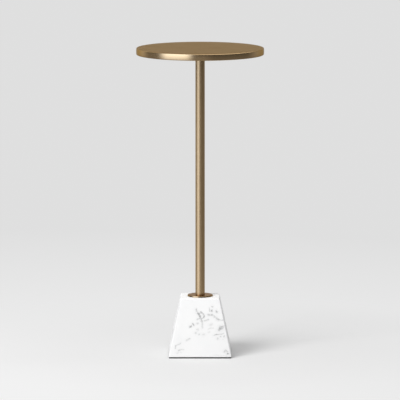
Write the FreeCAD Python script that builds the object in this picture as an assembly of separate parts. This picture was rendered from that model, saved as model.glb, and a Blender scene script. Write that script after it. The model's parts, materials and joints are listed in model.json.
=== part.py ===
# Wine table: a round brass-finished top on a slim pole, held up by a tapered marble block.
# Three units screw together by hand: the top onto a stud in the pole, the pole onto a rod in the base.
# Millimetres, +Z up, origin on the floor at the centre of the base.
import FreeCAD
import Part
import math
import os

V = FreeCAD.Vector
UP = V(0, 0, 1)

# Driving dimensions, read off the photograph and scaled to a table 24 inches high
TABLE_HEIGHT = 610.0
TOP_DIAMETER = 252.4
TOP_THICKNESS = 12.7
POLE_DIAMETER = 18.5
COLLAR_DIAMETER = 50.0
COLLAR_THICKNESS = 2.7
BASE_HEIGHT = 115.4
BASE_WIDTH = 124.0
BASE_TOP_WIDTH = 76.2

# Shaping of the visible edges
TOP_EDGE_ROUND = 1.2
RIM_CROWN_ANGLE = math.radians(6.0)
COLLAR_EDGE_ROUND = 0.5
COLLAR_EDGE_LEAN = math.radians(8.0)
POLE_END_CHAMFER = 0.3
BASE_ARRIS = 1.2

# Sheet, tube and soft layers
SKIN_GAUGE = 0.5
SKIN_LIP_WIDTH = 8.0
BACKING_THICKNESS = SKIN_GAUGE
BACKING_GAP = 0.3
POLE_WALL = 1.2
PAD_THICKNESS = 2.4
PAD_INSET = 0.8
PAD_CORNER = 2.0
GASKET_THICKNESS = 0.3
GASKET_DIAMETER = 46.0

# M8 threaded parts. Threads are drawn as rings, and tapped holes as plain bores at the crest.
THREAD_DIAMETER = 8.0
THREAD_PITCH = 1.25
THREAD_DEPTH = 0.54 * THREAD_PITCH
TAPPED_DIAMETER = THREAD_DIAMETER + 0.1
CLEARANCE_DIAMETER = 9.0
NUT_FLATS = 13.0
NUT_HEIGHT = 6.5
THIN_NUT_HEIGHT = 4.0
NUT_CHAMFER_ANGLE = math.radians(30.0)

# Base hardware in the recess under the marble
RECESS_DIAMETER = 44.0
RECESS_DEPTH = 24.0
ROD_BORE_DIAMETER = 10.0
CUSHION_DIAMETER = 38.0
CUSHION_THICKNESS = 2.0
PENNY_DIAMETER = 36.0
PENNY_THICKNESS = 2.5
SPRING_DIAMETER = 14.8
SPRING_THICKNESS = 2.0
SPRING_SLIT = 1.2
SPRING_SLIT_LEAN = 25.0
ROD_TAIL = 3.0

# Threaded plugs in the pole and the studs that they take
PLUG_LENGTH = 24.0
PLUG_CHAMFER = 0.8
LOWER_PLUG_SETBACK = 8.0
UPPER_PLUG_SETBACK = 1.0
THREAD_ENGAGEMENT = 20.0
STUD_SPARE = 1.5

# Mounting flange under the top
FLANGE_DIAMETER = 60.0
FLANGE_THICKNESS = 3.0
FLANGE_CHAMFER = 0.6
FLANGE_SCREW_CIRCLE = 44.0
FLANGE_SCREW_COUNT = 4
NUT_POCKET_DIAMETER = 18.0
NUT_POCKET_DEPTH = 8.0

# Countersunk wood screws that hold the flange to the core
SCREW_LENGTH = 9.5
SCREW_DIAMETER = 4.0
SCREW_ROOT_DIAMETER = 2.8
SCREW_PITCH = 1.6
SCREW_HEAD_DIAMETER = 8.0
SCREW_HOLE_DIAMETER = 4.4
SCREW_TIP_LENGTH = 1.5
CROSS_SLOT_LENGTH = 4.4
CROSS_SLOT_WIDTH = 0.9
CROSS_SLOT_DEPTH = 1.1

# Heights that follow from the sizes above
RECESS_ROOF_Z = PAD_THICKNESS + RECESS_DEPTH
CUSHION_Z = RECESS_ROOF_Z - CUSHION_THICKNESS
PENNY_Z = CUSHION_Z - PENNY_THICKNESS
SPRING_Z = PENNY_Z - SPRING_THICKNESS
BASE_NUT_Z = SPRING_Z - NUT_HEIGHT
ROD_LOW_Z = BASE_NUT_Z - ROD_TAIL
COLLAR_Z = BASE_HEIGHT + GASKET_THICKNESS
POLE_LOW_Z = COLLAR_Z + COLLAR_THICKNESS
LOWER_PLUG_Z = POLE_LOW_Z + LOWER_PLUG_SETBACK
ROD_HIGH_Z = LOWER_PLUG_Z + THREAD_ENGAGEMENT
TOP_LOW_Z = TABLE_HEIGHT - TOP_THICKNESS
FLANGE_Z = TOP_LOW_Z - FLANGE_THICKNESS
POLE_HIGH_Z = FLANGE_Z
UPPER_PLUG_Z = POLE_HIGH_Z - UPPER_PLUG_SETBACK - PLUG_LENGTH
STUD_LOW_Z = POLE_HIGH_Z - UPPER_PLUG_SETBACK - THREAD_ENGAGEMENT
STUD_HIGH_Z = TOP_LOW_Z + NUT_HEIGHT + STUD_SPARE
CORE_LOW_Z = TOP_LOW_Z + SKIN_GAUGE
POLE_BORE_DIAMETER = POLE_DIAMETER - 2 * POLE_WALL


def half_plane_point(radius, height):
    """Point of a profile that is turned about the Z axis."""
    return V(radius, 0, height)


def turned(points):
    """Solid of revolution of a closed profile of straight lines, given as (radius, height) pairs."""
    corners = [half_plane_point(*point) for point in points]
    outline = Part.makePolygon(corners + corners[:1])
    return Part.Face(outline).revolve(V(0, 0, 0), UP, 360)


def cylinder(diameter, low, high, centre=(0, 0)):
    """Upright cylinder between two heights."""
    return Part.makeCylinder(diameter / 2, high - low, V(centre[0], centre[1], low), UP)


def ring(outer_diameter, inner_diameter, low, high):
    """Flat washer between two heights."""
    return cylinder(outer_diameter, low, high).cut(cylinder(inner_diameter, low, high))


def square_wire(width, height):
    """Square outline centred on the axis, at one height."""
    half = width / 2
    corners = [V(-half, -half, height), V(half, -half, height), V(half, half, height), V(-half, half, height)]
    return Part.makePolygon(corners + corners[:1])


def arc_point(centre, radius, angle):
    """Point of a profile on a circle about centre, a (radius, height) pair."""
    return half_plane_point(centre[0] + radius * math.cos(angle), centre[1] + radius * math.sin(angle))


def arc_edge(centre, radius, start, end):
    """Arc of a profile between two angles."""
    middle = (start + end) / 2
    return Part.Arc(*(arc_point(centre, radius, angle) for angle in (start, middle, end))).toShape()


def line_edge(start, end):
    """Straight edge of a profile."""
    return Part.LineSegment(start, end).toShape()


def crowned_disc(inset):
    """The table top's outer form, drawn inset inside itself: flat faces, rounded edges, a rim that bulges."""
    half = TOP_THICKNESS / 2
    middle_z = TABLE_HEIGHT - half
    tilt = RIM_CROWN_ANGLE
    crown_radius = (half - TOP_EDGE_ROUND * (1 - math.sin(tilt))) / math.sin(tilt)
    crown_centre = (TOP_DIAMETER / 2 - crown_radius, middle_z)
    reach = crown_radius - TOP_EDGE_ROUND
    round_radius = crown_centre[0] + reach * math.cos(tilt)
    upper_centre = (round_radius, middle_z + reach * math.sin(tilt))
    lower_centre = (round_radius, middle_z - reach * math.sin(tilt))
    edge_round = TOP_EDGE_ROUND - inset
    arcs = [
        arc_edge(lower_centre, edge_round, -math.pi / 2, -tilt),
        arc_edge(crown_centre, crown_radius - inset, -tilt, tilt),
        arc_edge(upper_centre, edge_round, tilt, math.pi / 2),
    ]
    low_axis = half_plane_point(0, middle_z - half + inset)
    high_axis = half_plane_point(0, middle_z + half - inset)
    outline = [
        line_edge(low_axis, arc_point(lower_centre, edge_round, -math.pi / 2)),
        *arcs,
        line_edge(arc_point(upper_centre, edge_round, math.pi / 2), high_axis),
        line_edge(high_axis, low_axis),
    ]
    return Part.Face(Part.Wire(outline)).revolve(V(0, 0, 0), UP, 360)


def threaded_rod(diameter, root_diameter, pitch, low, high):
    """Rod with its thread drawn as rings, plain for part of a pitch at each end."""
    crest = diameter / 2
    root = root_diameter / 2
    turns = int((high - low) / pitch)
    start = (low + high - turns * pitch) / 2
    profile = [(0, low), (root, low)]
    for turn in range(turns):
        profile.append((root, start + turn * pitch))
        profile.append((crest, start + (turn + 0.5) * pitch))
    profile += [(root, start + turns * pitch), (root, high), (0, high)]
    return turned(profile)


def machine_stud(low, high):
    """M8 studding between two heights."""
    return threaded_rod(THREAD_DIAMETER, THREAD_DIAMETER - 2 * THREAD_DEPTH, THREAD_PITCH, low, high)


def hex_nut(low, height):
    """M8 hexagon nut with chamfered corners."""
    corner_radius = NUT_FLATS / 2 / math.cos(math.pi / 6)
    corners = []
    for side in range(7):
        angle = side * math.pi / 3
        corners.append(V(corner_radius * math.cos(angle), corner_radius * math.sin(angle), low))
    prism = Part.Face(Part.makePolygon(corners)).extrude(UP * height)
    flat_radius = NUT_FLATS / 2
    drop = (corner_radius - flat_radius) * math.tan(NUT_CHAMFER_ANGLE)
    chamfers = turned([
        (0, low),
        (flat_radius, low),
        (corner_radius, low + drop),
        (corner_radius, low + height - drop),
        (flat_radius, low + height),
        (0, low + height),
    ])
    return prism.common(chamfers).cut(cylinder(TAPPED_DIAMETER, low, low + height))


def pole_plug(low):
    """Turned steel plug with a tapped hole, fixed inside one end of the pole."""
    outer = POLE_BORE_DIAMETER / 2
    bore = TAPPED_DIAMETER / 2
    high = low + PLUG_LENGTH
    return turned([
        (bore + PLUG_CHAMFER, low),
        (outer - PLUG_CHAMFER, low),
        (outer, low + PLUG_CHAMFER),
        (outer, high - PLUG_CHAMFER),
        (outer - PLUG_CHAMFER, high),
        (bore + PLUG_CHAMFER, high),
        (bore, high - PLUG_CHAMFER),
        (bore, low + PLUG_CHAMFER),
    ])


def flange_screw_places():
    """Centres of the flange's screws, evenly spaced on their circle and clear of the X and Y axes."""
    places = []
    for number in range(FLANGE_SCREW_COUNT):
        angle = (number + 0.5) * 2 * math.pi / FLANGE_SCREW_COUNT
        places.append((FLANGE_SCREW_CIRCLE / 2 * math.cos(angle), FLANGE_SCREW_CIRCLE / 2 * math.sin(angle)))
    return places


def drilled(shape, diameter, low, high):
    """Shape with a hole at each of the flange's screws."""
    for place in flange_screw_places():
        shape = shape.cut(cylinder(diameter, low, high, place))
    return shape


def floor_pad():
    """Foam sheet stuck to the whole underside of the marble, a little smaller than the block."""
    sheet = Part.Face(square_wire(BASE_WIDTH - 2 * PAD_INSET, 0)).extrude(UP * PAD_THICKNESS)
    uprights = [edge for edge in sheet.Edges if abs(edge.Vertexes[0].Z - edge.Vertexes[1].Z) > PAD_THICKNESS / 2]
    return sheet.makeFillet(PAD_CORNER, uprights)


def marble_base():
    """Tapered square block with eased edges, bored for the rod and recessed below for its nut."""
    wires = [square_wire(BASE_WIDTH, PAD_THICKNESS), square_wire(BASE_TOP_WIDTH, BASE_HEIGHT)]
    block = Part.makeLoft(wires, True, True)
    block = block.makeFillet(BASE_ARRIS, block.Edges)
    recess = cylinder(RECESS_DIAMETER, PAD_THICKNESS, RECESS_ROOF_Z)
    bore = cylinder(ROD_BORE_DIAMETER, RECESS_ROOF_Z, BASE_HEIGHT)
    return block.cut(recess).cut(bore)


def cushion_washer():
    """Rubber washer that spreads the nut's load on the marble."""
    return ring(CUSHION_DIAMETER, CLEARANCE_DIAMETER, CUSHION_Z, CUSHION_Z + CUSHION_THICKNESS)


def penny_washer():
    """Wide steel washer under the rubber one."""
    return ring(PENNY_DIAMETER, CLEARANCE_DIAMETER, PENNY_Z, PENNY_Z + PENNY_THICKNESS)


def spring_washer():
    """Split lock washer, drawn pressed flat, with its slanting slit."""
    washer = ring(SPRING_DIAMETER, CLEARANCE_DIAMETER, SPRING_Z, SPRING_Z + SPRING_THICKNESS)
    slit = Part.makeBox(SPRING_DIAMETER, SPRING_SLIT, 3 * SPRING_THICKNESS)
    slit.translate(V(0, -SPRING_SLIT / 2, -1.5 * SPRING_THICKNESS))
    slit.rotate(V(0, 0, 0), V(1, 0, 0), SPRING_SLIT_LEAN)
    slit.translate(V(0, 0, SPRING_Z + SPRING_THICKNESS / 2))
    return washer.cut(slit)


def base_nut():
    """Nut on the lower end of the rod, hidden in the recess."""
    return hex_nut(BASE_NUT_Z, NUT_HEIGHT)


def base_rod():
    """Studding that clamps the base's pieces together and takes the pole."""
    return machine_stud(ROD_LOW_Z, ROD_HIGH_Z)


def collar_gasket():
    """Thin washer that keeps the collar off the marble."""
    return ring(GASKET_DIAMETER, ROD_BORE_DIAMETER, BASE_HEIGHT, COLLAR_Z)


def collar():
    """Brass disc between the pole and the marble, its edge leaning in a little and rounded at the top."""
    outer = COLLAR_DIAMETER / 2
    bore = CLEARANCE_DIAMETER / 2
    high = COLLAR_Z + COLLAR_THICKNESS
    lean = COLLAR_EDGE_LEAN
    leaning_height = COLLAR_THICKNESS - COLLAR_EDGE_ROUND * (1 - math.sin(lean))
    round_radius = outer - leaning_height * math.tan(lean) - COLLAR_EDGE_ROUND * math.cos(lean)
    round_centre = (round_radius, high - COLLAR_EDGE_ROUND)
    outline = [
        line_edge(half_plane_point(bore, COLLAR_Z), half_plane_point(outer, COLLAR_Z)),
        line_edge(half_plane_point(outer, COLLAR_Z), arc_point(round_centre, COLLAR_EDGE_ROUND, lean)),
        arc_edge(round_centre, COLLAR_EDGE_ROUND, lean, math.pi / 2),
        line_edge(arc_point(round_centre, COLLAR_EDGE_ROUND, math.pi / 2), half_plane_point(bore, high)),
        line_edge(half_plane_point(bore, high), half_plane_point(bore, COLLAR_Z)),
    ]
    return Part.Face(Part.Wire(outline)).revolve(V(0, 0, 0), UP, 360)


def collar_nut():
    """Thin nut inside the foot of the pole that holds the collar down on the marble."""
    return hex_nut(POLE_LOW_Z, THIN_NUT_HEIGHT)


def pole_tube():
    """Round tube from the collar to the flange, with a small chamfer round each end."""
    outer = POLE_DIAMETER / 2
    bore = POLE_BORE_DIAMETER / 2
    return turned([
        (bore, POLE_LOW_Z),
        (outer - POLE_END_CHAMFER, POLE_LOW_Z),
        (outer, POLE_LOW_Z + POLE_END_CHAMFER),
        (outer, POLE_HIGH_Z - POLE_END_CHAMFER),
        (outer - POLE_END_CHAMFER, POLE_HIGH_Z),
        (bore, POLE_HIGH_Z),
    ])


def lower_plug():
    """Plug that screws down onto the base's rod, set back to clear the collar's nut."""
    return pole_plug(LOWER_PLUG_Z)


def upper_plug():
    """Plug that holds the stud for the top."""
    return pole_plug(UPPER_PLUG_Z)


def top_stud():
    """Stud that stands out of the pole and screws into the nut on the flange."""
    return machine_stud(STUD_LOW_Z, STUD_HIGH_Z)


def top_skin():
    """Pressed sheet that covers the top and rim, with its lower edge turned in under the core."""
    lip_opening = cylinder(TOP_DIAMETER - 2 * SKIN_LIP_WIDTH, TOP_LOW_Z, CORE_LOW_Z)
    return crowned_disc(0).cut(crowned_disc(SKIN_GAUGE)).cut(lip_opening)


def top_core():
    """Board that fills the skin, pocketed for the nut and drilled for the screws."""
    board = crowned_disc(SKIN_GAUGE)
    board = board.cut(cylinder(NUT_POCKET_DIAMETER, CORE_LOW_Z, CORE_LOW_Z + NUT_POCKET_DEPTH))
    return drilled(board, SCREW_DIAMETER, CORE_LOW_Z, FLANGE_Z + SCREW_LENGTH)


def backing_disc():
    """Sheet that closes the underside inside the skin's lip."""
    diameter = TOP_DIAMETER - 2 * SKIN_LIP_WIDTH - 2 * BACKING_GAP
    disc = ring(diameter, NUT_POCKET_DIAMETER, TOP_LOW_Z, TOP_LOW_Z + BACKING_THICKNESS)
    return drilled(disc, SCREW_HOLE_DIAMETER, TOP_LOW_Z, TOP_LOW_Z + BACKING_THICKNESS)


def top_flange():
    """Steel plate under the top, countersunk for its screws."""
    outer = FLANGE_DIAMETER / 2
    plate = turned([
        (CLEARANCE_DIAMETER / 2, FLANGE_Z),
        (outer - FLANGE_CHAMFER, FLANGE_Z),
        (outer, FLANGE_Z + FLANGE_CHAMFER),
        (outer, TOP_LOW_Z),
        (CLEARANCE_DIAMETER / 2, TOP_LOW_Z),
    ])
    plate = drilled(plate, SCREW_HOLE_DIAMETER, FLANGE_Z, TOP_LOW_Z)
    sink_radius = SCREW_HEAD_DIAMETER / 2
    hole_radius = SCREW_HOLE_DIAMETER / 2
    for x, y in flange_screw_places():
        sink = Part.makeCone(sink_radius, hole_radius, sink_radius - hole_radius, V(x, y, FLANGE_Z), UP)
        plate = plate.cut(sink)
    return plate


def flange_nut():
    """Nut welded on the flange, sunk in the core's pocket."""
    return hex_nut(TOP_LOW_Z, NUT_HEIGHT)


def flange_screws():
    """Countersunk screws, alike, with a cross slot in each head."""
    head_radius = SCREW_HEAD_DIAMETER / 2
    root_radius = SCREW_ROOT_DIAMETER / 2
    neck_z = head_radius - root_radius
    thread_end = SCREW_LENGTH - SCREW_TIP_LENGTH
    head = Part.makeCone(head_radius, root_radius, neck_z)
    thread = threaded_rod(SCREW_DIAMETER, SCREW_ROOT_DIAMETER, SCREW_PITCH, neck_z, thread_end)
    tip = Part.makeCone(root_radius, 0, SCREW_TIP_LENGTH, V(0, 0, thread_end), UP)
    screw = head.fuse(thread).fuse(tip).removeSplitter()
    for length, width in ((CROSS_SLOT_LENGTH, CROSS_SLOT_WIDTH), (CROSS_SLOT_WIDTH, CROSS_SLOT_LENGTH)):
        screw = screw.cut(Part.makeBox(length, width, CROSS_SLOT_DEPTH, V(-length / 2, -width / 2, 0)))
    screws = []
    for x, y in flange_screw_places():
        placed = screw.copy()
        placed.translate(V(x, y, FLANGE_Z))
        screws.append(placed)
    return Part.makeCompound(screws)


PIECES = [
    floor_pad,
    marble_base,
    cushion_washer,
    penny_washer,
    spring_washer,
    base_nut,
    base_rod,
    collar_gasket,
    collar,
    collar_nut,
    pole_tube,
    lower_plug,
    upper_plug,
    top_stud,
    top_skin,
    top_core,
    backing_disc,
    top_flange,
    flange_nut,
    flange_screws,
]


def main():
    os.makedirs("parts", exist_ok=True)
    for make_piece in PIECES:
        shape = make_piece()
        name = make_piece.__name__
        shape.exportStep(f"parts/{name}.step")
        print(f"{name}: {len(shape.Solids)} solids, valid {shape.isValid()}, {shape.Volume:.1f} mm3")


main()
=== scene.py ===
"""Looks of a wine table: a brushed brass top, pole and collar on a tapered block of white marble."""
import json
import math

import bpy
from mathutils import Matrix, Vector


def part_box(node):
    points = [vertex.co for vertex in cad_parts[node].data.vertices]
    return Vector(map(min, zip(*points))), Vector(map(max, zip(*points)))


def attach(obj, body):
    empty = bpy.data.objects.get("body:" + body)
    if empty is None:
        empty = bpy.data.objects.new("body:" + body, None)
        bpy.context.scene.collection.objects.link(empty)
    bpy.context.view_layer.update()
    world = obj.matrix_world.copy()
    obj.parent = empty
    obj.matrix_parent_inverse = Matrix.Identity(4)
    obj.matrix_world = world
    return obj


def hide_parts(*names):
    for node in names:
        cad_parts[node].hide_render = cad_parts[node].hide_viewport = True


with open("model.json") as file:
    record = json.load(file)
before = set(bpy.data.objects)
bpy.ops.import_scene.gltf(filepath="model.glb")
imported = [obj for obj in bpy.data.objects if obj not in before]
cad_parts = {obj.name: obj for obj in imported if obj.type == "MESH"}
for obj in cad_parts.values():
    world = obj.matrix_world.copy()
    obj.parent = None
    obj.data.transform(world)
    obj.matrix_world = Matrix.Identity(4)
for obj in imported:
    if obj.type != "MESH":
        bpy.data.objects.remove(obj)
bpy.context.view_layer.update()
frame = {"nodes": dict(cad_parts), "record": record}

MM = 0.001
QUARTER = math.pi / 2

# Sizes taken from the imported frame, in metres
TOP_LOW, TOP_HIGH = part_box("top_skin")
POLE_LOW, POLE_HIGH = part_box("pole_tube")
COLLAR_LOW, COLLAR_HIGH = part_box("collar")
BASE_LOW, BASE_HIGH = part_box("marble_base")
PAD_LOW, PAD_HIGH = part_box("floor_pad")

# Shaping that the boxes can't give, in metres
TOP_EDGE_ROUND = 1.2 * MM
RIM_CROWN_ANGLE = math.radians(6.0)
SKIN_GAUGE = 0.5 * MM
SKIN_LIP_WIDTH = 8.0 * MM
COLLAR_EDGE_ROUND = 0.5 * MM
COLLAR_EDGE_LEAN = math.radians(8.0)
COLLAR_BORE_RADIUS = 4.5 * MM
POLE_WALL = 1.2 * MM
POLE_END_CHAMFER = 0.3 * MM
BASE_TOP_HALF = 38.1 * MM
BASE_BOTTOM_HALF = 62.0 * MM
BASE_ARRIS = 1.2 * MM
BASE_LEAST_CORNER = 0.15 * MM
BASE_BORE_RADIUS = 5.0 * MM
BASE_RECESS_RADIUS = 22.0 * MM
BASE_RECESS_DEPTH = 24.0 * MM
PAD_CORNER = 2.0 * MM
PAD_BULGE = 0.35 * MM

# How finely the meshes are divided
ROUND_STEPS = 192
ARC_STEPS = 6
CROWN_STEPS = 10
TOP_FACE_RINGS = 6
POLE_SPANS = 12
SIDE_STEPS = 8
PAD_EDGE_STEPS = 8

# Share of the collar's radius at which its upper face is divided
COLLAR_FACE_RING = 0.6

# Edges that turn further than this are crisp, and faces this close to the highest level are upper faces
SHARP_ANGLE = math.radians(35)
FLAT_TOLERANCE = 0.01 * MM

# Camera of the photograph, fitted to the top's ellipse and the base's corners
CAMERA_PLACE = (-0.0002, -8.0577, 1.4206)
CAMERA_TILT = math.radians(7.8643)
CAMERA_SENSOR = 36.0
CAMERA_LENS = 369.75


# Mesh helpers

def mesh_object(name, points, faces):
    """Smooth-shaded mesh object with its sharp edges left crisp."""
    mesh = bpy.data.meshes.new(name)
    mesh.from_pydata(points, [], faces)
    mesh.polygons.foreach_set("use_smooth", [True] * len(mesh.polygons))
    mesh.set_sharp_from_angle(angle=SHARP_ANGLE)
    mesh.update()
    piece = bpy.data.objects.new(name, mesh)
    bpy.context.scene.collection.objects.link(piece)
    return piece


def bridged(name, rings, closed):
    """Mesh of quads between rings, taken up the outside; a ring of one point closes an end as a fan."""
    points = []
    starts = []
    for ring in rings:
        starts.append(len(points))
        points += ring

    def corner(ring, step):
        """Number of a ring's point, which is the same at each step where there is only one."""
        return starts[ring] + (step if len(rings[ring]) > 1 else 0)

    count = max(len(ring) for ring in rings)
    pairs = list(zip(range(len(rings)), range(1, len(rings))))
    if closed:
        pairs.append((len(rings) - 1, 0))
    faces = []
    for first, second in pairs:
        for step in range(count):
            following = (step + 1) % count
            corners = [
                corner(first, step),
                corner(first, following),
                corner(second, following),
                corner(second, step),
            ]
            faces.append(list(dict.fromkeys(corners)))
    return mesh_object(name, points, faces)


def circle(radius, height):
    """Ring of points round the Z axis, or the one point on it."""
    if radius == 0:
        return [(0.0, 0.0, height)]
    angles = [math.tau * i / ROUND_STEPS for i in range(ROUND_STEPS)]
    return [(radius * math.cos(a), radius * math.sin(a), height) for a in angles]


def lathe(name, profile, closed):
    """Mesh turned from a profile of (radius, height) points that runs up the outside."""
    return bridged(name, [circle(radius, height) for radius, height in profile], closed)


def arc(centre, radius, start, end, steps=ARC_STEPS):
    """Points on an arc in a plane, both ends included."""
    angles = [start + (end - start) * i / steps for i in range(steps + 1)]
    return [(centre[0] + radius * math.cos(a), centre[1] + radius * math.sin(a)) for a in angles]


def rounded_square(half, corner, height):
    """Ring of points round a square with rounded corners."""
    reach = half - corner
    side = arc((reach, reach), corner, 0.0, QUARTER)
    side += [(reach * (1 - 2 * i / SIDE_STEPS), half) for i in range(1, SIDE_STEPS)]
    ring = []
    for number in range(4):
        cosine = math.cos(number * QUARTER)
        sine = math.sin(number * QUARTER)
        ring += [(x * cosine - y * sine, x * sine + y * cosine, height) for x, y in side]
    return ring


def ring_like(ring, radius, height):
    """Circle with a point at the bearing of each point of another ring."""
    points = []
    for x, y, _ in ring:
        scale = radius / math.hypot(x, y)
        points.append((x * scale, y * scale, height))
    return points


# Node helpers

def new_node(tree, kind, inputs=None, **options):
    """Adds a shader node, sets its options, and fills its inputs with values or links."""
    node = tree.nodes.new("ShaderNode" + kind)
    for option, value in options.items():
        setattr(node, option, value)
    for key, value in (inputs or {}).items():
        if isinstance(value, bpy.types.NodeSocket):
            tree.links.new(value, node.inputs[key])
        else:
            node.inputs[key].default_value = value
    return node


def calculate(tree, operation, *values):
    """Output of a math node."""
    return new_node(tree, "Math", dict(enumerate(values)), operation=operation).outputs[0]


def vector_math(tree, operation, *values):
    """Vector output of a vector math node."""
    return new_node(tree, "VectorMath", dict(enumerate(values)), operation=operation).outputs["Vector"]


def vector_value(tree, operation, *values):
    """Number output of a vector math node."""
    return new_node(tree, "VectorMath", dict(enumerate(values)), operation=operation).outputs["Value"]


def scaled(tree, vector, factor):
    """Vector or colour multiplied by a number."""
    return new_node(tree, "VectorMath", {0: vector, "Scale": factor}, operation="SCALE").outputs["Vector"]


def split(tree, vector):
    """X, Y and Z of a vector."""
    return new_node(tree, "SeparateXYZ", {0: vector}).outputs


def joined(tree, x, y, z=0.0):
    """Vector of X, Y and Z."""
    return new_node(tree, "CombineXYZ", {0: x, 1: y, 2: z}).outputs[0]


def noise(tree, place, scale, detail=3.0, roughness=0.6):
    """Noise from 0 to 1."""
    inputs = {"Vector": place, "Scale": scale, "Detail": detail, "Roughness": roughness}
    return new_node(tree, "TexNoise", inputs).outputs[0]


def map_range(tree, value, low, high, to_low, to_high, smooth=False):
    """Value carried from one range to another, and held at its ends."""
    inputs = {"Value": value, "From Min": low, "From Max": high, "To Min": to_low, "To Max": to_high}
    style = "SMOOTHSTEP" if smooth else "LINEAR"
    return new_node(tree, "MapRange", inputs, interpolation_type=style).outputs[0]


def mix_colour(tree, factor, first, second):
    """Colour between two others, by the mix node's sockets for colours."""
    return new_node(tree, "Mix", {0: factor, 6: first, 7: second}, data_type="RGBA").outputs[2]


def mix_vector(tree, factor, first, second):
    """Vector between two others, by the mix node's sockets for vectors."""
    return new_node(tree, "Mix", {0: factor, 4: first, 5: second}, data_type="VECTOR").outputs[1]


def mix_shader(tree, factor, first, second):
    """Surface between two others."""
    return new_node(tree, "MixShader", {0: factor, 1: first, 2: second}).outputs[0]


def bumped(tree, height, depth, strength=1.0):
    """Normal of a surface with relief of a given depth in metres."""
    return new_node(tree, "Bump", {"Height": height, "Distance": depth, "Strength": strength}).outputs[0]


def opaque(colour):
    """Colour with a full alpha."""
    return (*colour, 1.0)


def grey(level):
    """Neutral opaque colour."""
    return opaque((level, level, level))


def new_material(name):
    """Material with an empty node tree, and the place of each point in the table's frame."""
    material = bpy.data.materials.new(name)
    material.use_nodes = True
    tree = material.node_tree
    tree.nodes.clear()
    place = new_node(tree, "TexCoord").outputs["Object"]
    return material, tree, place


def finish_surface(tree, inputs):
    """Ends a tree in one principled shader."""
    shader = new_node(tree, "BsdfPrincipled", inputs)
    new_node(tree, "OutputMaterial", {"Surface": shader.outputs[0]})


# Brass

BRASS_DULL = (0.41, 0.28, 0.146)
BRASS_WORN = (0.47, 0.33, 0.19)

# Colours at a glancing view; the collar's face has a lighter one, painted light on its reflections
BRASS_GLANCING = (0.6, 0.5, 0.35)
COLLAR_FACE_PAINTED_LIGHT_GLANCING = (0.74, 0.595, 0.48)

# Share of the pole's colour left at each end by painted shade, which darkens the pole towards its head
# where less light reaches it
POLE_PAINTED_SHADE_FOOT = 0.98
POLE_PAINTED_SHADE_HEAD = 0.82

# Fineness of the brushed lines, in lines a metre along X, Y and Z: hair lines, then broader streaks
GRAINS = {
    "along_x": ((20.0, 1200.0, 40.0), (16.0, 200.0, 10.0)),
    "along_z": ((1800.0, 1800.0, 12.0), (420.0, 420.0, 5.0)),
    "round_z": ((25.0, 25.0, 1800.0), (12.0, 12.0, 260.0)),
}

# Shares of the hair lines, streaks and clouds in the wear, and where the wear passes from dull to worn
HAIR_SHARE = 0.4
STREAK_SHARE = 0.35
CLOUD_SHARE = 0.25
CLOUD_SCALE = 22.0
WEAR_MIDDLE = 0.515
WEAR_SOFTNESS = 0.155

# Hair lines: the range of their noise, what it does to the roughness, and their relief
HAIR_LOW = 0.2
HAIR_HIGH = 0.8
HAIR_ROUGHNESS = 0.12
HAIR_DEPTH = 0.02 * MM
HAIR_STRENGTH = 0.15

# Turn of the highlights that lays them across lines round the axis, as a share of a full turn
ROUND_GRAIN_TURN = 0.25


def brushed(tree, place, grain):
    """Point at which to read the grain's noise, and the tangent and the turn of its highlights."""
    if grain == "along_x":
        return place, joined(tree, 0.0, 1.0), 0.0
    tangent = new_node(tree, "Tangent", direction_type="RADIAL", axis="Z").outputs[0]
    if grain == "along_z":
        return place, tangent, 0.0
    x, y, z = split(tree, place)
    radius = vector_value(tree, "LENGTH", joined(tree, x, y))
    lines = calculate(tree, "ADD", radius, z)
    return joined(tree, x, y, lines), tangent, ROUND_GRAIN_TURN


def brass(
    name, grain, roughness, anisotropy,
    shade=1.0, glancing=BRASS_GLANCING, metallic=1.0, softness=WEAR_SOFTNESS,
):
    """Brushed brass with its grain along X, round the Z axis, or along Z with painted shade that darkens
    the pole towards its head.
    """
    material, tree, place = new_material(name)
    point, tangent, turn = brushed(tree, place, grain)
    hair_lines, streaks = GRAINS[grain]
    hair_point = vector_math(tree, "MULTIPLY", point, hair_lines)
    streak_point = vector_math(tree, "MULTIPLY", point, streaks)
    hair = noise(tree, hair_point, scale=1.0)
    streak = noise(tree, streak_point, scale=1.0, detail=2.0, roughness=0.5)
    cloud = noise(tree, place, CLOUD_SCALE, roughness=0.55)
    wear = 0.0
    for texture, share in ((hair, HAIR_SHARE), (streak, STREAK_SHARE), (cloud, CLOUD_SHARE)):
        wear = calculate(tree, "MULTIPLY_ADD", texture, share, wear)
    worn = map_range(tree, wear, WEAR_MIDDLE - softness, WEAR_MIDDLE + softness, 0, 1)
    # shade scales the brass's colour: painted shade where a piece is darkened, painted light where it is
    # lightened
    dull = opaque(level * shade for level in BRASS_DULL)
    bright = opaque(level * shade for level in BRASS_WORN)
    colour = mix_colour(tree, worn, dull, bright)
    # Painted shade: along Z the colour darkens from the pole's foot to its head, standing in for less
    # light near the top
    if grain == "along_z":
        height = split(tree, place)["Z"]
        pole_painted_shade = map_range(tree, height, POLE_LOW.z, POLE_HIGH.z, POLE_PAINTED_SHADE_FOOT, POLE_PAINTED_SHADE_HEAD)
        colour = scaled(tree, colour, pole_painted_shade)
    smoothest = roughness * (1 - HAIR_ROUGHNESS)
    roughest = roughness * (1 + HAIR_ROUGHNESS)
    finish_surface(tree, {
        "Base Color": colour,
        "Metallic": metallic,
        "Roughness": map_range(tree, hair, HAIR_LOW, HAIR_HIGH, smoothest, roughest),
        "Specular Tint": opaque(glancing),
        "Anisotropic": anisotropy,
        "Anisotropic Rotation": turn,
        "Tangent": tangent,
        "Normal": bumped(tree, hair, HAIR_DEPTH, HAIR_STRENGTH),
    })
    return material


# Marble

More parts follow.
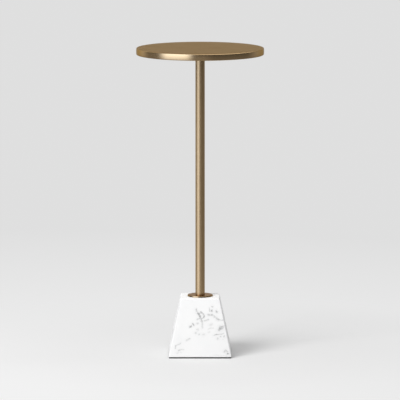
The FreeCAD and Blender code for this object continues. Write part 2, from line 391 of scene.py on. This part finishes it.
# Veins of the photographed face: strength, width and route, in millimetres across and above the floor
VEINS = [
    (0.45, 2.4, [(-7.5, 95.5), (-6.7, 92.1)]),
    (0.70, 2.8, [(-5.0, 88.9), (-3.0, 85.3)]),
    (0.50, 2.6, [(-3.0, 85.3), (-0.4, 81.2), (2.2, 76.7)]),
    (0.55, 2.0, [(-1.6, 87.0), (2.0, 89.3), (5.6, 86.4), (8.7, 82.0), (6.3, 78.5), (2.6, 76.5)]),
    (0.58, 2.2, [(1.2, 88.9), (2.6, 89.4)]),
    (0.68, 2.4, [(8.0, 83.0), (8.8, 81.6)]),
    (0.50, 2.0, [(6.6, 78.6), (3.6, 77.2)]),
    (0.40, 2.4, [(-1.4, 78.6), (-5.3, 76.5)]),
    (0.52, 2.8, [(2.4, 76.5), (3.8, 71.1)]),
    (0.34, 2.8, [(3.8, 71.1), (3.9, 67.0)]),
    (0.22, 3.2, [(3.9, 67.0), (4.6, 59.3)]),
    (0.65, 2.6, [(22.5, 93.0), (23.3, 91.8)]),
    (0.60, 2.4, [(32.4, 91.2), (33.6, 90.2)]),
    (0.38, 2.4, [(23.4, 100.4), (24.8, 100.6)]),
    (0.30, 1.8, [(18.4, 97.9), (18.8, 91.1)]),
    (0.36, 3.2, [(15.6, 84.1), (22.9, 84.1), (27.8, 81.8), (31.4, 79.0), (35.4, 75.6)]),
    (0.34, 2.4, [(16.4, 84.1), (24.5, 84.1)]),
    (0.48, 2.8, [(34.3, 76.6), (36.2, 75.2)]),
    (0.32, 2.4, [(36.2, 75.2), (45.0, 74.4)]),
    (0.36, 2.0, [(8.8, 73.0), (12.5, 73.4), (16.4, 75.6)]),
    (0.23, 3.2, [(20.3, 65.3), (23.5, 66.4)]),
    (0.22, 1.5, [(16.0, 56.8), (20.5, 59.5), (26.3, 59.5)]),
    (0.18, 2.2, [(16.6, 50.6), (19.0, 51.5)]),
    (0.60, 4.0, [(37.6, 55.2), (39.2, 58.6)]),
    (0.42, 3.6, [(39.0, 60.6), (45.4, 61.8)]),
    (0.42, 4.4, [(39.6, 57.3), (43.6, 58.8)]),
    (0.56, 1.5, [(26.3, 44.5), (34.2, 46.1)]),
    (0.33, 1.4, [(34.2, 46.1), (46.6, 48.4)]),
    (0.34, 1.9, [(39.6, 42.0), (40.6, 42.5)]),
    (0.38, 2.4, [(34.3, 38.7), (35.3, 37.9)]),
    (0.43, 1.9, [(47.6, 43.2), (48.4, 42.4)]),
    (0.16, 1.8, [(45.0, 38.1), (45.8, 37.3)]),
    (0.52, 2.4, [(-20.7, 61.2), (-17.6, 62.5)]),
    (0.70, 2.4, [(-14.8, 67.0), (-13.0, 64.9)]),
    (0.35, 2.8, [(-6.1, 67.8), (-4.5, 68.5)]),
    (0.29, 2.8, [(-9.4, 50.0), (-8.4, 50.4)]),
    (0.28, 2.0, [(-7.5, 56.2), (-3.6, 56.6)]),
    (0.20, 2.0, [(-4.0, 55.2), (-5.0, 53.1)]),
    (0.35, 2.0, [(-1.6, 47.8), (-2.2, 46.2)]),
    (0.28, 2.8, [(7.9, 46.3), (6.3, 46.1)]),
    (0.28, 2.2, [(-27.7, 35.4), (-19.8, 39.3)]),
    (0.30, 1.6, [(-47.6, 25.5), (-38.3, 29.4)]),
    (0.40, 2.0, [(-39.4, 29.0), (-38.6, 29.4)]),
    (0.42, 2.0, [(-49.2, 24.5), (-49.2, 20.0)]),
    (0.50, 2.4, [(-42.3, 16.0), (-40.5, 16.4)]),
    (0.25, 1.6, [(-40.7, 17.4), (-35.0, 18.3), (-32.8, 17.2)]),
    (0.24, 2.4, [(-45.2, 10.0), (-43.6, 10.6)]),
    (0.20, 1.8, [(-38.1, 11.5), (-37.3, 11.9)]),
    (0.42, 2.4, [(47.6, 13.4), (50.9, 16.2), (54.1, 13.6)]),
    (0.78, 2.6, [(54.9, 9.3), (53.6, 10.0)]),
    (0.10, 1.4, [(27.4, 6.2), (46.5, 6.8)]),
]

# Halo of a vein: its width in widths of the vein, and its share of the vein's strength
VEIN_HALO = 2.6
VEIN_HALO_SHARE = 0.18

# How veins wander off their routes: scale of the noise, and reach in millimetres
VEIN_WANDERS = ((90.0, 4.0), (420.0, 5.0))
UNSEEN_FACE_WANDER_SCALE = 22.0
UNSEEN_FACE_WANDER = 40.0
WANDER_DETAIL = 3.0
NOISE_MIDDLE = (0.5, 0.5, 0.5)
IN_PLANE = (1.0, 1.0, 0.0)

# Blotches that make a vein fainter and darker along its route
BLOTCH_SCALE = 300.0
BLOTCH_LOW = 0.35
BLOTCH_HIGH = 0.65
VEIN_FAINTEST = 0.6
VEIN_DARKEST = 1.4

# Tones of the stone and the clouds that run between the first two; the third is painted light that makes
# the upper face paler, and the fourth is the veins' grey
MARBLE_WHITE = grey(0.838)
MARBLE_CLOUD = opaque((0.812, 0.814, 0.818))
MARBLE_TOP_PAINTED_LIGHT = grey(0.922)
MARBLE_VEIN = opaque((0.15, 0.151, 0.155))
MARBLE_CLOUD_SCALE = 18.0
MARBLE_CLOUD_LOW = 0.4
MARBLE_CLOUD_HIGH = 0.7


def stroke_group():
    """Node group that shades a straight stroke of a vein: a line that fades out, in a faint halo."""
    group = bpy.data.node_groups.new("vein_stroke", "ShaderNodeTree")
    sockets = {"Place": "Vector", "From": "Vector", "To": "Vector", "Width": "Float", "Strength": "Float"}
    for name, kind in sockets.items():
        group.interface.new_socket(name, in_out="INPUT", socket_type="NodeSocket" + kind)
    group.interface.new_socket("Shade", in_out="OUTPUT", socket_type="NodeSocketFloat")
    given = group.nodes.new("NodeGroupInput").outputs
    along = vector_math(group, "SUBTRACT", given["To"], given["From"])
    away = vector_math(group, "SUBTRACT", given["Place"], given["From"])
    reach = calculate(
        group, "DIVIDE",
        vector_value(group, "DOT_PRODUCT", away, along),
        vector_value(group, "DOT_PRODUCT", along, along),
    )
    held = new_node(group, "Clamp", {"Value": reach}).outputs[0]
    distance = vector_value(group, "DISTANCE", away, scaled(group, along, held))
    line = map_range(group, distance, 0, given["Width"], 1 - VEIN_HALO_SHARE, 0, smooth=True)
    spread = calculate(group, "MULTIPLY", given["Width"], VEIN_HALO)
    halo = map_range(group, distance, 0, spread, VEIN_HALO_SHARE, 0, smooth=True)
    shade = calculate(group, "MULTIPLY", calculate(group, "ADD", line, halo), given["Strength"])
    result = group.nodes.new("NodeGroupOutput")
    group.links.new(shade, result.inputs["Shade"])
    return group


def warped(tree, point, place, scale, reach):
    """Point moved about in its plane by noise, by up to half of reach each way."""
    inputs = {"Vector": place, "Scale": scale, "Detail": WANDER_DETAIL}
    wander = new_node(tree, "TexNoise", inputs).outputs["Color"]
    offset = vector_math(tree, "SUBTRACT", wander, NOISE_MIDDLE)
    offset = vector_math(tree, "MULTIPLY", offset, IN_PLANE)
    return vector_math(tree, "ADD", point, scaled(tree, offset, reach))


def face_place(tree, place):
    """Place on a point's side face, in millimetres across and up, displaced on the unseen faces."""
    x, y, z = split(tree, place)
    across = calculate(tree, "ABSOLUTE", x)
    on_side = calculate(tree, "GREATER_THAN", across, calculate(tree, "ABSOLUTE", y))
    on_front = calculate(tree, "GREATER_THAN", calculate(tree, "MULTIPLY", y, -1.0), across)
    upside_down = calculate(tree, "SUBTRACT", BASE_HIGH.z, z)
    flat = mix_vector(tree, on_side, joined(tree, x, z), joined(tree, y, upside_down))
    unseen = calculate(tree, "SUBTRACT", 1.0, on_front)
    reach = calculate(tree, "MULTIPLY", unseen, UNSEEN_FACE_WANDER)
    return warped(tree, scaled(tree, flat, 1 / MM), place, UNSEEN_FACE_WANDER_SCALE, reach)


def vein_shade(tree, place):
    """How dark the veins are at a point."""
    point = face_place(tree, place)
    for scale, reach in VEIN_WANDERS:
        point = warped(tree, point, place, scale, reach)
    group = stroke_group()
    shade = 0.0
    for strength, width, route in VEINS:
        for start, end in zip(route, route[1:]):
            inputs = {
                "Place": point,
                "From": (*start, 0.0),
                "To": (*end, 0.0),
                "Width": width,
                "Strength": strength,
            }
            stroke = new_node(tree, "Group", inputs, node_tree=group)
            shade = calculate(tree, "MAXIMUM", shade, stroke.outputs["Shade"])
    blotch = noise(tree, place, BLOTCH_SCALE)
    uneven = map_range(tree, blotch, BLOTCH_LOW, BLOTCH_HIGH, VEIN_FAINTEST, VEIN_DARKEST)
    return calculate(tree, "MULTIPLY", shade, uneven)


def marble():
    """White marble with sparse grey veins, honed until it hardly shines, with painted light that makes
    its upper face paler.
    """
    material, tree, place = new_material("white_marble")
    cloud = noise(tree, place, MARBLE_CLOUD_SCALE, detail=4.0)
    cloudy = map_range(tree, cloud, MARBLE_CLOUD_LOW, MARBLE_CLOUD_HIGH, 0, 1)
    white = mix_colour(tree, cloudy, MARBLE_WHITE, MARBLE_CLOUD)
    height = split(tree, place)["Z"]
    # Painted light: the upper face, up to its arris, is painted paler
    top_painted_light_mask = map_range(tree, height, BASE_HIGH.z - BASE_ARRIS, BASE_HIGH.z, 0, 1)
    white = mix_colour(tree, top_painted_light_mask, white, MARBLE_TOP_PAINTED_LIGHT)
    colour = mix_colour(tree, vein_shade(tree, place), white, MARBLE_VEIN)
    finish_surface(tree, {"Base Color": colour, "Roughness": 0.5, "Specular IOR Level": 0.02})
    return material


# Other materials

def matt_material(name, dark, light, roughness, relief, texture):
    """Dull material that runs between two tones, with relief to match."""
    material, tree, place = new_material(name)
    speckle = noise(tree, place, **texture)
    finish_surface(tree, {
        "Base Color": mix_colour(tree, speckle, dark, light),
        "Roughness": roughness,
        "Normal": bumped(tree, speckle, relief),
    })
    return material


def foam():
    """Black closed-cell foam."""
    dark = grey(0.015)
    light = grey(0.05)
    texture = {"scale": 1500.0}
    return matt_material("foam_pad", dark, light, roughness=0.9, relief=0.2 * MM, texture=texture)


def rubber():
    """Black rubber of the washers."""
    dark = grey(0.01)
    light = grey(0.035)
    texture = {"scale": 700.0}
    return matt_material("black_rubber", dark, light, roughness=0.75, relief=0.05 * MM, texture=texture)


def board():
    """Pressed fibre board of the core."""
    dark = opaque((0.3, 0.2, 0.11))
    light = opaque((0.5, 0.36, 0.22))
    texture = {"scale": 900.0, "detail": 5.0, "roughness": 0.7}
    return matt_material("core_board", dark, light, roughness=0.85, relief=0.1 * MM, texture=texture)


def black_sheet():
    """Black painted sheet under the top."""
    dark = opaque((0.018, 0.017, 0.016))
    light = opaque((0.03, 0.029, 0.027))
    texture = {"scale": 900.0, "detail": 2.0, "roughness": 0.5}
    return matt_material("black_sheet", dark, light, roughness=0.45, relief=0.03 * MM, texture=texture)


def zinc_steel():
    """Zinc-plated steel of the hidden hardware."""
    material, tree, place = new_material("zinc_steel")
    spangle = noise(tree, place, scale=400.0, detail=4.0)
    dark = opaque((0.5, 0.51, 0.53))
    light = opaque((0.68, 0.69, 0.7))
    finish_surface(tree, {
        "Base Color": mix_colour(tree, spangle, dark, light),
        "Metallic": 1.0,
        "Roughness": map_range(tree, spangle, low=0.3, high=0.7, to_low=0.25, to_high=0.45),
    })
    return material


# Pieces

def stand_for(piece, node, slot, *materials):
    """Puts a piece in place of a CAD node, with its materials."""
    for material in materials:
        piece.data.materials.append(material)
    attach(piece, "root")
    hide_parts(node)


def use_second_material(piece, height):
    """Gives a piece's faces at its highest level the second of its materials."""
    for face in piece.data.polygons:
        if face.center.z > height - FLAT_TOLERANCE:
            face.material_index = 1


def tabletop(rim_brass, face_painted_light_brass):
    """Pressed brass skin: flat top, rounded edges, bulged rim, and a lip turned in underneath."""
    radius = min(TOP_HIGH.x, TOP_HIGH.y)
    half = (TOP_HIGH.z - TOP_LOW.z) / 2
    middle = (TOP_HIGH.z + TOP_LOW.z) / 2
    tilt = RIM_CROWN_ANGLE
    crown = (half - TOP_EDGE_ROUND * (1 - math.sin(tilt))) / math.sin(tilt)
    reach = crown - TOP_EDGE_ROUND
    crown_centre = (radius - crown, middle)
    edge_radius = crown_centre[0] + reach * math.cos(tilt)
    upper_centre = (edge_radius, middle + reach * math.sin(tilt))
    lower_centre = (edge_radius, middle - reach * math.sin(tilt))

    def rim(inset):
        """Profile of the edge from the upper flat to the lower one."""
        points = arc(upper_centre, TOP_EDGE_ROUND - inset, QUARTER, tilt)
        points += arc(crown_centre, crown - inset, tilt, -tilt, CROWN_STEPS)[1:-1]
        points += arc(lower_centre, TOP_EDGE_ROUND - inset, -tilt, -QUARTER)
        return points

    lip = radius - SKIN_LIP_WIDTH
    profile = [(0.0, TOP_HIGH.z - SKIN_GAUGE)]
    profile += rim(SKIN_GAUGE)
    profile += [(lip, TOP_LOW.z + SKIN_GAUGE), (lip, TOP_LOW.z)]
    profile += reversed(rim(0.0))
    profile += [(edge_radius * i / TOP_FACE_RINGS, TOP_HIGH.z) for i in reversed(range(TOP_FACE_RINGS))]
    piece = lathe("tabletop", profile, closed=False)
    stand_for(piece, "top_skin", "brushed_brass", rim_brass, face_painted_light_brass)
    # The flat top takes the second brass, painted a little lighter as painted light
    use_second_material(piece, TOP_HIGH.z)


def pole(pole_brass):
    """Brass tube with a small chamfer round each end."""
    outer = POLE_HIGH.x
    inner = outer - POLE_WALL
    cut = POLE_END_CHAMFER
    step = (POLE_HIGH.z - POLE_LOW.z - 2 * cut) / POLE_SPANS
    profile = [(inner, POLE_LOW.z), (outer - cut, POLE_LOW.z)]
    profile += [(outer, POLE_LOW.z + cut + step * i) for i in range(POLE_SPANS + 1)]
    profile += [(outer - cut, POLE_HIGH.z), (inner, POLE_HIGH.z)]
    piece = lathe("pole", profile, closed=True)
    stand_for(piece, "pole_tube", "brushed_brass", pole_brass)


def collar(edge_painted_shade_brass, face_painted_light_brass):
    """Thin brass disc at the pole's foot, its edge leaning in a little and rounded at the top."""
    outer = min(COLLAR_HIGH.x, COLLAR_HIGH.y)
    lean = COLLAR_EDGE_LEAN
    leaning_height = COLLAR_HIGH.z - COLLAR_LOW.z - COLLAR_EDGE_ROUND * (1 - math.sin(lean))
    round_radius = outer - leaning_height * math.tan(lean) - COLLAR_EDGE_ROUND * math.cos(lean)
    centre = (round_radius, COLLAR_HIGH.z - COLLAR_EDGE_ROUND)
    profile = [(COLLAR_BORE_RADIUS, COLLAR_LOW.z), (outer, COLLAR_LOW.z)]
    profile += arc(centre, COLLAR_EDGE_ROUND, lean, QUARTER)
    profile += [(outer * COLLAR_FACE_RING, COLLAR_HIGH.z), (COLLAR_BORE_RADIUS, COLLAR_HIGH.z)]
    piece = lathe("foot_collar", profile, closed=True)
    stand_for(piece, "collar", "brushed_brass", edge_painted_shade_brass, face_painted_light_brass)
    # The upper face takes the lighter brass, painted light; the edge keeps the darker one, painted shade
    use_second_material(piece, COLLAR_HIGH.z)


def marble_block(stone):
    """Tapered marble block with eased arrises, bored and recessed for its hidden hardware."""
    top, bottom = BASE_HIGH.z, BASE_LOW.z
    slope = math.atan2(BASE_BOTTOM_HALF - BASE_TOP_HALF, top - bottom)

    def half_at(height):
        """Half width of the block at a height, where no arris is eased."""
        return BASE_TOP_HALF + (top - height) * math.tan(slope)

    def round_centre(height):
        """Centre of an arris's round, in the block's section."""
        return half_at(height) - BASE_ARRIS / math.cos(slope), height

    section = arc(round_centre(bottom + BASE_ARRIS), BASE_ARRIS, -QUARTER, slope)
    section += arc(round_centre(top - BASE_ARRIS), BASE_ARRIS, slope, QUARTER)
    outside = []
    for half, height in section:
        inset = half_at(height) - half
        outside.append(rounded_square(half, max(BASE_LEAST_CORNER, BASE_ARRIS - inset), height))
    roof = bottom + BASE_RECESS_DEPTH
    rings = [
        ring_like(outside[0], BASE_RECESS_RADIUS, roof),
        ring_like(outside[0], BASE_RECESS_RADIUS, bottom),
        *outside,
        ring_like(outside[-1], BASE_BORE_RADIUS, top),
        ring_like(outside[-1], BASE_BORE_RADIUS, roof),
    ]
    piece = bridged("marble_block", rings, closed=True)
    stand_for(piece, "marble_base", "white_marble", stone)


def foot_pad(black_foam):
    """Foam sheet under the block, its edge bulging a little under the weight."""
    half = PAD_HIGH.x
    thickness = PAD_HIGH.z - PAD_LOW.z
    rings = [
        [(0.0, 0.0, PAD_LOW.z)],
        rounded_square(half / 2, PAD_CORNER / 2, PAD_LOW.z),
    ]
    for i in range(PAD_EDGE_STEPS + 1):
        angle = math.pi * i / PAD_EDGE_STEPS
        out = half - PAD_BULGE * (1 - math.sin(angle))
        height = PAD_LOW.z + thickness * (1 - math.cos(angle)) / 2
        rings.append(rounded_square(out, PAD_CORNER, height))
    rings.append(rounded_square(half / 2, PAD_CORNER / 2, PAD_HIGH.z))
    rings.append([(0.0, 0.0, PAD_HIGH.z)])
    piece = bridged("foot_pad", rings, closed=False)
    stand_for(piece, "floor_pad", "foam_pad", black_foam)


def dress_cad_nodes(finishes):
    """Gives every CAD node the material of its slot."""
    for part in frame["record"]["subparts"]:
        node = frame["nodes"][part["node"]]
        node.data.materials.clear()
        node.data.materials.append(finishes[part["material_slot"]])


# Floor

FLOOR_REACH = 400.0
FLOOR_COLOUR = grey(0.733)

# Distances from the table up to which the floor is matt, and from which it glows evenly
FLOOR_MATT_TO = 0.28
FLOOR_GLOW_FROM = 0.7

# Distances up to which the brass mirrors the floor, and from which it mirrors the studio instead
FLOOR_MIRRORED_TO = 0.2
STUDIO_MIRRORED_FROM = 0.9

# The glow falls from the first level to the second, over a distance from its centre
FLOOR_GLOW_NEAR = grey(0.885)
FLOOR_GLOW = grey(0.74)
FLOOR_GLOW_CENTRE = (-0.4, -0.5, 0.0)
FLOOR_GLOW_REACH = 2.2


def floor():
    """Pale floor that fills the view, mirrored in the brass only close to the table."""
    side = FLOOR_REACH
    corners = [(-side, -side, 0.0), (side, -side, 0.0), (side, side, 0.0), (-side, side, 0.0)]
    ground = mesh_object("floor", corners, [(0, 1, 2, 3)])
    material, tree, place = new_material("studio_floor")
    matt = new_node(tree, "BsdfDiffuse", {"Color": FLOOR_COLOUR}).outputs[0]
    glow_distance = vector_value(tree, "DISTANCE", place, FLOOR_GLOW_CENTRE)
    falling = map_range(tree, glow_distance, 0, FLOOR_GLOW_REACH, 0, 1)
    glow_colour = mix_colour(tree, falling, FLOOR_GLOW_NEAR, FLOOR_GLOW)
    glow = new_node(tree, "Emission", {"Color": glow_colour}).outputs[0]
    distance = vector_value(tree, "LENGTH", place)
    far = map_range(tree, distance, FLOOR_MATT_TO, FLOOR_GLOW_FROM, 0, 1, smooth=True)
    surface = mix_shader(tree, far, matt, glow)
    fade = map_range(tree, distance, FLOOR_MIRRORED_TO, STUDIO_MIRRORED_FROM, 0, 1, smooth=True)
    is_mirrored = new_node(tree, "LightPath").outputs["Is Glossy Ray"]
    hidden = calculate(tree, "MULTIPLY", fade, is_mirrored)
    clear = new_node(tree, "BsdfTransparent").outputs[0]
    surface = mix_shader(tree, hidden, surface, clear)
    new_node(tree, "OutputMaterial", {"Surface": surface})
    material.cycles.emission_sampling = "NONE"
    ground.data.materials.append(material)


# Studio, with bearings from the camera and angles above the floor in degrees

# Ring of panels that the brass mirrors: bearing and brightness
STUDIO_RING = [
    (-180, 0.175),
    (-160, 0.28),
    (-125, 0.28),
    (-108, 0.075),
    (-80, 0.085),
    (-64, 0.99),
    (-25, 0.99),
    (-11.5, 0.055),
    (8, 0.05),
    (22, 0.036),
    (96, 0.033),
    (122, 0.16),
    (150, 0.22),
    (180, 0.175),
]

# Tint of a full panel, and the brightness from which it sets in
PANEL_TINT = (0.9, 1.04, 1.3)
PANEL_TINT_FROM = 0.3

# Brightness of all that is mirrored
MIRRORED_POWER = 3.2

# Wall over the ring, and ceiling over the wall
WALL = 0.2
WALL_ANGLES = (14, 40)
CEILING = grey(0.24)
CEILING_ANGLES = (55, 85)

# Canopy over the right front, reaching lower towards the right
CANOPY = 0.8
CANOPY_ANGLES = (28, 40)
CANOPY_LEAN = 0.15
CANOPY_TOWARDS = (0.75, -0.66, 0.0)
CANOPY_EDGE = -0.02
CANOPY_FULL = 0.24

# Lower light: a skirt at the horizon, a patch of floor in front, and the floor further down
SKIRT = 0.028
SKIRT_ANGLES = (-6, 7)
PATCH = 0.09
PATCH_TOWARDS = (0.06, -0.95, -0.3)
PATCH_EDGE = math.cos(math.radians(22))
UNDERFOOT = grey(0.1)
UNDERFOOT_SHARE = 0.9
UNDERFOOT_ANGLES = (-30, 6)

# Light on matt surfaces from overhead, and how steeply it falls towards the horizon
AMBIENT = 1.34
AMBIENT_FALL = 2.0

# Distance from the table to the light panels, in metres
PANEL_DISTANCE = 6.0


def ring_colour(tree, x, y):
    """Colour of the ring of panels in a direction."""
    bearing = calculate(tree, "ARCTAN2", x, calculate(tree, "MULTIPLY", y, -1.0))
    share = calculate(tree, "MULTIPLY_ADD", bearing, 1 / math.tau, 0.5)
    ramp = new_node(tree, "ValToRGB", {"Fac": share})
    stops = ramp.color_ramp.elements
    while len(stops) > 1:
        stops.remove(stops[-1])
    for number, (angle, level) in enumerate(STUDIO_RING):
        position = angle / 360 + 0.5
        stop = stops[0] if number == 0 else stops.new(position)
        stop.position = position
        tinted = max(0.0, (level - PANEL_TINT_FROM) / (1 - PANEL_TINT_FROM))
        stop.color = opaque(level * (1 + tinted * (tint - 1)) for tint in PANEL_TINT)
    return ramp.outputs[0]


def by_angle(tree, height, angles, below, above):
    """Smooth passage from one level to another between two angles above the floor."""
    low, high = (math.sin(math.radians(angle)) for angle in angles)
    return map_range(tree, height, low, high, below, above, smooth=True)


def mirrored_studio(tree, direction):
    """Colour of the studio as the brass mirrors it."""
    x, y, height = split(tree, direction)
    wall = by_angle(tree, height, WALL_ANGLES, 0, WALL)
    colour = vector_math(tree, "MAXIMUM", ring_colour(tree, x, y), wall)
    skirt = by_angle(tree, height, SKIRT_ANGLES, SKIRT, 0)
    nearness = vector_value(tree, "DOT_PRODUCT", direction, Vector(PATCH_TOWARDS).normalized())
    patch = map_range(tree, nearness, PATCH_EDGE, 1, 0, PATCH, smooth=True)
    colour = vector_math(tree, "ADD", colour, calculate(tree, "ADD", skirt, patch))
    overhead = by_angle(tree, height, CEILING_ANGLES, 0, 1)
    colour = mix_colour(tree, overhead, colour, CEILING)
    leaning = calculate(tree, "MULTIPLY_ADD", x, CANOPY_LEAN, height)
    raised = by_angle(tree, leaning, CANOPY_ANGLES, 0, CANOPY)
    towards = vector_value(tree, "DOT_PRODUCT", direction, CANOPY_TOWARDS)
    inside = map_range(tree, towards, CANOPY_EDGE, CANOPY_FULL, 0, 1, smooth=True)
    colour = vector_math(tree, "MAXIMUM", colour, calculate(tree, "MULTIPLY", raised, inside))
    underfoot = by_angle(tree, height, UNDERFOOT_ANGLES, UNDERFOOT_SHARE, 0)
    colour = mix_colour(tree, underfoot, colour, UNDERFOOT)
    return scaled(tree, colour, MIRRORED_POWER)


def studio():
    """Even light for matt surfaces, a studio for the brass to mirror, and the backdrop's glow."""
    world = bpy.data.worlds.new("studio")
    bpy.context.scene.world = world
    world.use_nodes = True
    tree = world.node_tree
    tree.nodes.clear()
    direction = new_node(tree, "TexCoord").outputs["Generated"]
    height = new_node(tree, "Clamp", {"Value": split(tree, direction)["Z"]}).outputs[0]
    ambient = calculate(tree, "MULTIPLY", calculate(tree, "POWER", height, AMBIENT_FALL), AMBIENT)
    light_path = new_node(tree, "LightPath").outputs
    colour = mix_colour(tree, light_path["Is Glossy Ray"], ambient, mirrored_studio(tree, direction))
    colour = mix_colour(tree, light_path["Is Camera Ray"], colour, FLOOR_GLOW)
    background = new_node(tree, "Background", {"Color": colour}).outputs[0]
    new_node(tree, "OutputWorld", {"Surface": background})


def light_panel(name, bearing, height_angle, size, power):
    """Soft panel that lights the matt surfaces from a distance and isn't mirrored."""
    lamp = bpy.data.lights.new(name, "AREA")
    lamp.shape = "SQUARE"
    lamp.size = size
    lamp.energy = power
    holder = bpy.data.objects.new(name, lamp)
    bpy.context.scene.collection.objects.link(holder)
    across = PANEL_DISTANCE * math.cos(math.radians(height_angle))
    holder.location = (
        across * math.sin(math.radians(bearing)),
        -across * math.cos(math.radians(bearing)),
        PANEL_DISTANCE * math.sin(math.radians(height_angle)),
    )
    towards = Vector((0, 0, BASE_HIGH.z)) - holder.location
    holder.rotation_euler = towards.to_track_quat("-Z", "Y").to_euler()
    holder.visible_camera = False
    holder.visible_glossy = False


def camera():
    """The photograph's view."""
    lens = bpy.data.cameras.new("camera")
    lens.sensor_width = CAMERA_SENSOR
    lens.lens = CAMERA_LENS
    lens.clip_end = 2 * FLOOR_REACH
    eye = bpy.data.objects.new("camera", lens)
    bpy.context.scene.collection.objects.link(eye)
    eye.location = CAMERA_PLACE
    eye.rotation_euler = (QUARTER - CAMERA_TILT, 0, 0)
    bpy.context.scene.camera = eye


# The table

# The top's face is painted 3% lighter (shade 1.03), painted light standing in for more light from
# overhead
top_painted_light_brass = brass(
    "brass_straight_grain", "along_x", roughness=0.35, anisotropy=0.5, shade=1.03, softness=0.08,
)
rim_brass = brass("brass_rim", "round_z", roughness=0.22, anisotropy=0.4)
pole_brass = brass("brass_pole", "along_z", roughness=0.31, anisotropy=0.65, metallic=0.82)
flange_brass = brass("brass_round_grain", "round_z", roughness=0.25, anisotropy=0.4)
# The collar's face has a lighter glancing colour, painted light, and its edge is painted darker (shade
# 0.74), painted shade on its mirrored highlight
collar_face_painted_light_brass = brass("brass_collar_face_painted_light", "round_z", roughness=0.2, anisotropy=0.4, glancing=COLLAR_FACE_PAINTED_LIGHT_GLANCING)
collar_edge_painted_shade_brass = brass("brass_collar_edge_painted_shade", "round_z", roughness=0.25, anisotropy=0.4, shade=0.74)
slots = {
    "brushed_brass": flange_brass,
    "white_marble": marble(),
    "foam_pad": foam(),
    "zinc_steel": zinc_steel(),
    "black_rubber": rubber(),
    "core_board": board(),
    "black_sheet": black_sheet(),
}
dress_cad_nodes(slots)
tabletop(rim_brass, top_painted_light_brass)
pole(pole_brass)
collar(collar_edge_painted_shade_brass, collar_face_painted_light_brass)
marble_block(slots["white_marble"])
foot_pad(slots["foam_pad"])

# The stage

floor()
studio()
light_panel("key", bearing=-42, height_angle=36, size=3.2, power=306.0)
light_panel("fill", bearing=100, height_angle=5.5, size=1.0, power=45.0)
camera()
bpy.context.scene.view_settings.view_transform = "Standard"
